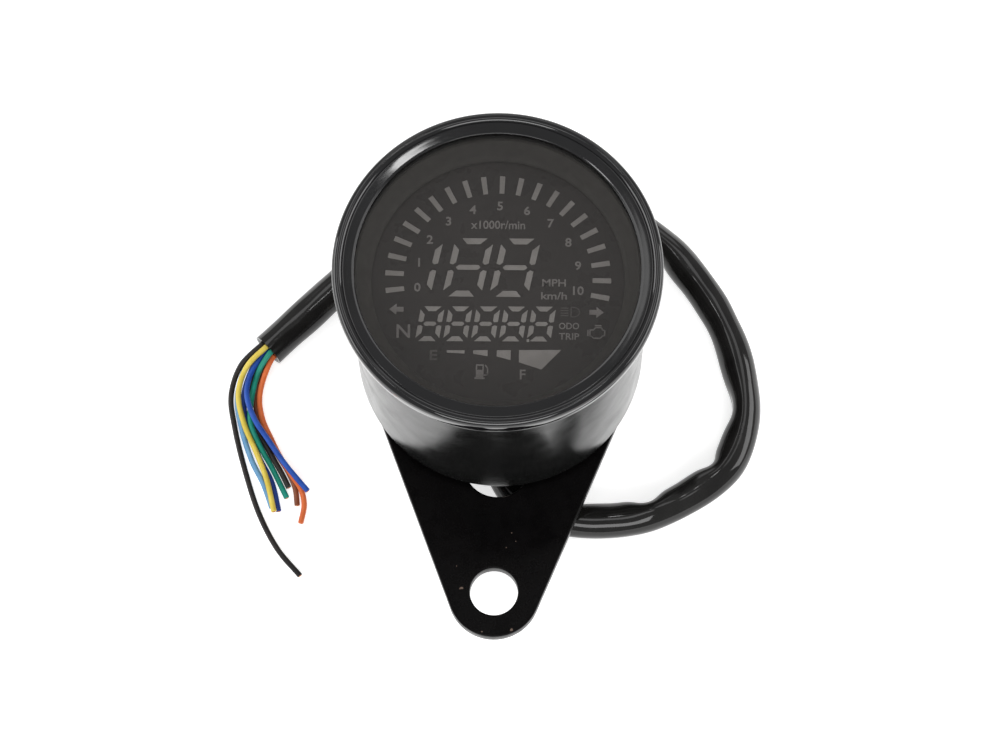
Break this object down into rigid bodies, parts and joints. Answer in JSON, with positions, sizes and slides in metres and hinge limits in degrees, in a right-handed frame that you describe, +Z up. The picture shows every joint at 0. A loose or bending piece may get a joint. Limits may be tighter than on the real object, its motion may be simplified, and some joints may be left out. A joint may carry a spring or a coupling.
{
  "type": "motorcycle instrument cluster",
  "caption": "Round digital motorcycle gauge with smoked lens and glossy bezel on a teardrop bracket, with a sleeved cable that ends in loose coloured wires.",
  "frame": {"origin": "centre of the footprint of everything but the free cable, on the surface that the gauge lies on, at the height of the stud ends", "axes": "+Z is up, out of the display; the bracket's tab points to -Y; +X is to the right of someone reading the display with the tab at the bottom"},
  "size_m": [0.1147, 0.1032, 0.0726],
  "materials": {
    "gloss_black": "high-gloss black paint over steel",
    "bracket_black": "semi-gloss black powder coat",
    "smoked_lens": "smoked flat glass, polished",
    "rubber": "matt black rubber",
    "mask_grey": "matt black plastic",
    "lcd_grey": "display glass with polariser",
    "milky_plastic": "milky light-guide plastic",
    "carrier_white": "moulded off-white plastic",
    "board_green": "green solder mask",
    "chip_black": "moulded black resin",
    "zinc": "zinc-plated steel",
    "soft_black": "black moulded plastic",
    "zebra_strip": "pink silicone contact strip",
    "sleeve_black": "glossy soft PVC sleeve",
    "wire_black": "PVC insulation",
    "wire_yellow": "PVC insulation",
    "wire_light_blue": "PVC insulation",
    "wire_dark_blue": "PVC insulation",
    "wire_green": "PVC insulation",
    "wire_grey": "PVC insulation",
    "wire_blue": "PVC insulation",
    "wire_brown": "PVC insulation",
    "wire_orange": "PVC insulation"
  },
  "bodies": {
    "gauge": {"backlight_guide": "milky_plastic", "backlight_led_1": "milky_plastic", "backlight_led_2": "milky_plastic", "backlight_led_3": "milky_plastic", "backlight_led_4": "milky_plastic", "bezel_ring": "gloss_black", "board_header": "carrier_white", "bracket_plate": "bracket_black", "button_body": "soft_black", "button_lead": "soft_black", "button_nut": "zinc", "button_spring": "zinc", "cable_boot": "rubber", "cable_sleeve": "sleeve_black", "cable_tie": "soft_black", "crystal": "zinc", "dial_mask": "mask_grey", "display_driver": "chip_black", "harness_plug": "carrier_white", "housing_cup": "gloss_black", "inner_carrier": "carrier_white", "inner_loom": "soft_black", "input_capacitor": "chip_black", "lcd_panel": "lcd_grey", "lens": "smoked_lens", "lens_gasket": "rubber", "main_board": "board_green", "microcontroller": "chip_black", "mounting_nut_left": "zinc", "mounting_nut_right": "zinc", "mounting_stud_left": "zinc", "mounting_stud_right": "zinc", "output_capacitor": "chip_black", "plain_washer_left": "zinc", "plain_washer_right": "zinc", "spring_washer_left": "zinc", "spring_washer_right": "zinc", "voltage_regulator": "chip_black", "wire_black": "wire_black", "wire_blue": "wire_blue", "wire_brown": "wire_brown", "wire_dark_blue": "wire_dark_blue", "wire_green": "wire_green", "wire_grey": "wire_grey", "wire_light_blue": "wire_light_blue", "wire_orange": "wire_orange", "wire_yellow": "wire_yellow", "zebra_strip_bottom": "zebra_strip", "zebra_strip_top": "zebra_strip"},
    "button": {"button_cap": "rubber"}
  },
  "joints": [
    {"name": "button_press", "type": "slide", "parent": "gauge", "child": "button", "axis": [0, 0, 1], "range_m": [0, 0.0012], "stiffness_N_per_m": 800, "deforming": ["button_spring"]}
  ]
}
